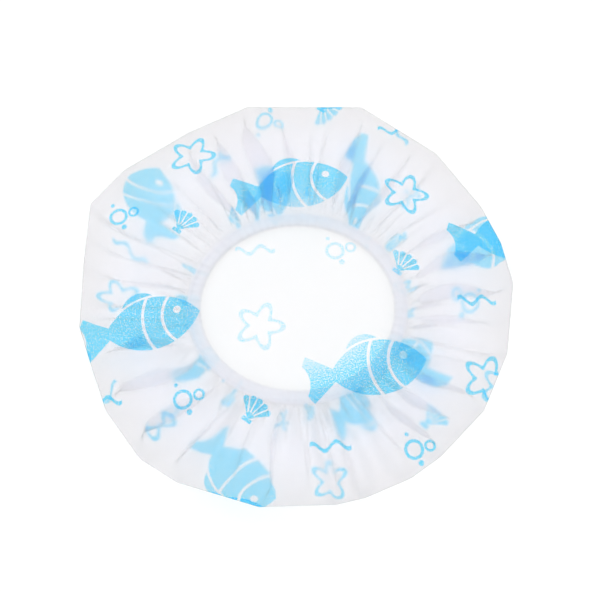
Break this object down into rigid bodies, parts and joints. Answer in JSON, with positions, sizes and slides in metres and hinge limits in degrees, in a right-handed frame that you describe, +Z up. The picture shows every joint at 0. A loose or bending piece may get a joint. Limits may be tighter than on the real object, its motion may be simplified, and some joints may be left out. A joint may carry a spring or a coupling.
{
  "type": "shower cap",
  "caption": "Soft frosted film shower cap: domed crown, pressed polygonal fold and gathered brim drawn in by an elastic hem.",
  "frame": {"origin": "centre of the cap's outline, on the surface that the hem lies on", "axes": "+Z up from the mouth to the crown's top, +X across the cap to the right of the picture, -Y towards the picture's camera"},
  "size_m": [0.2855, 0.2837, 0.044],
  "materials": {
    "printed_film": "satin",
    "hem_film": "satin",
    "elastic": "matte",
    "thread": "matte"
  },
  "bodies": {
    "hem": {"hem_casing": "hem_film", "elastic_band": "elastic", "elastic_join_thread": "thread"},
    "crown": {"printed_film": "printed_film"}
  },
  "joints": [
    {"name": "crown_lift", "type": "slide", "parent": "hem", "child": "crown", "axis": [0, 0, 1], "range_m": [-0.015, 0.015], "stiffness_N_per_m": 20, "springref_m": 0.0122, "deforming": ["printed_film"]}
  ]
}
